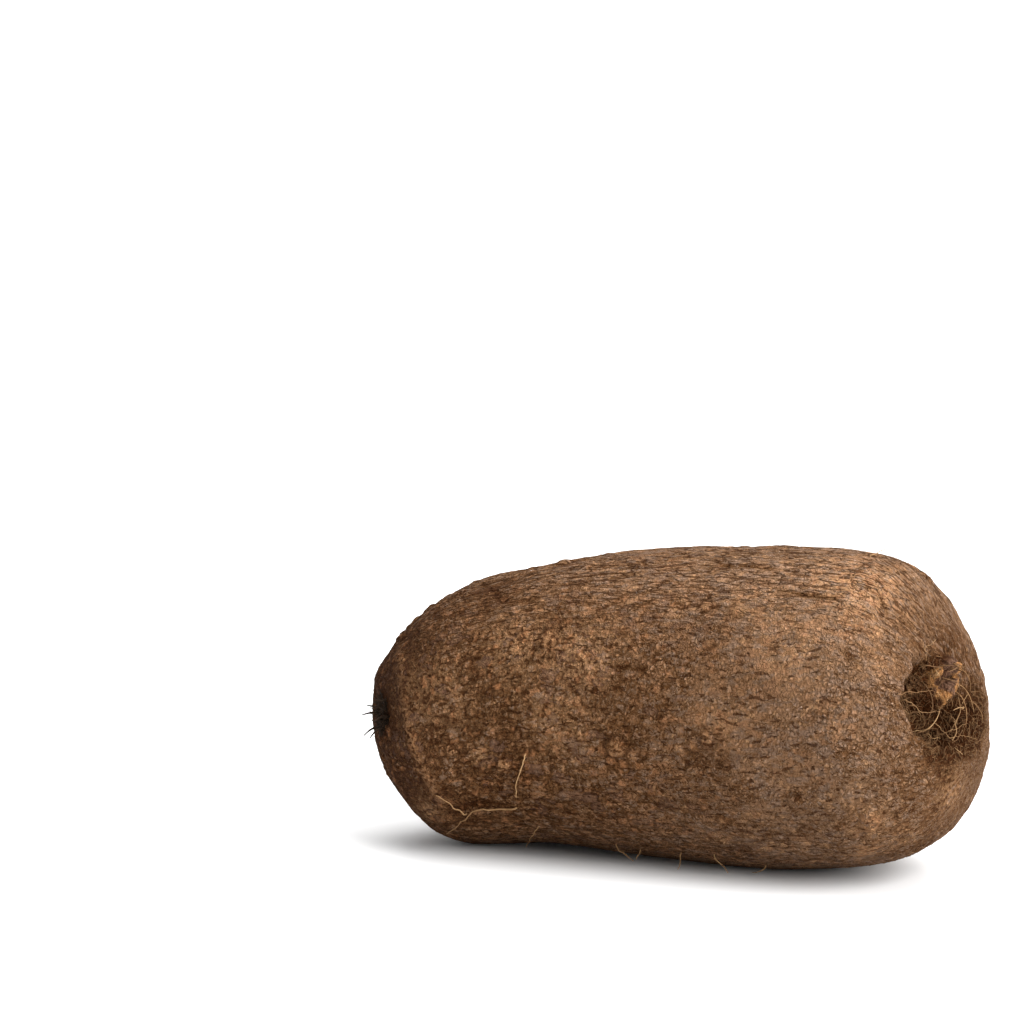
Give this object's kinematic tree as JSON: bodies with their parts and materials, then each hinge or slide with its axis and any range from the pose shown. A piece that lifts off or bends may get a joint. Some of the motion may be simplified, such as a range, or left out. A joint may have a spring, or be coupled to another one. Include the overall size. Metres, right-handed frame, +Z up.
{
  "type": "yam tuber",
  "caption": "Whole yam lying on its side: a blunt, slightly bent tuber with corky bark, a rooted crown pit with a stem scar, a small tail scar and thin wiry roots.",
  "frame": {"origin": "on the surface the tuber rests on, in the flat of its underside, about midway between tail and crown", "axes": "+X along the tuber towards the crown, +Z up, -Y towards the side with the crown pit"},
  "size_m": [0.2472, 0.1248, 0.1235],
  "materials": {
    "bark": "dry, rough, matt brown corky bark"
  },
  "bodies": {
    "root": {"yam": "bark"}
  },
  "joints": []
}
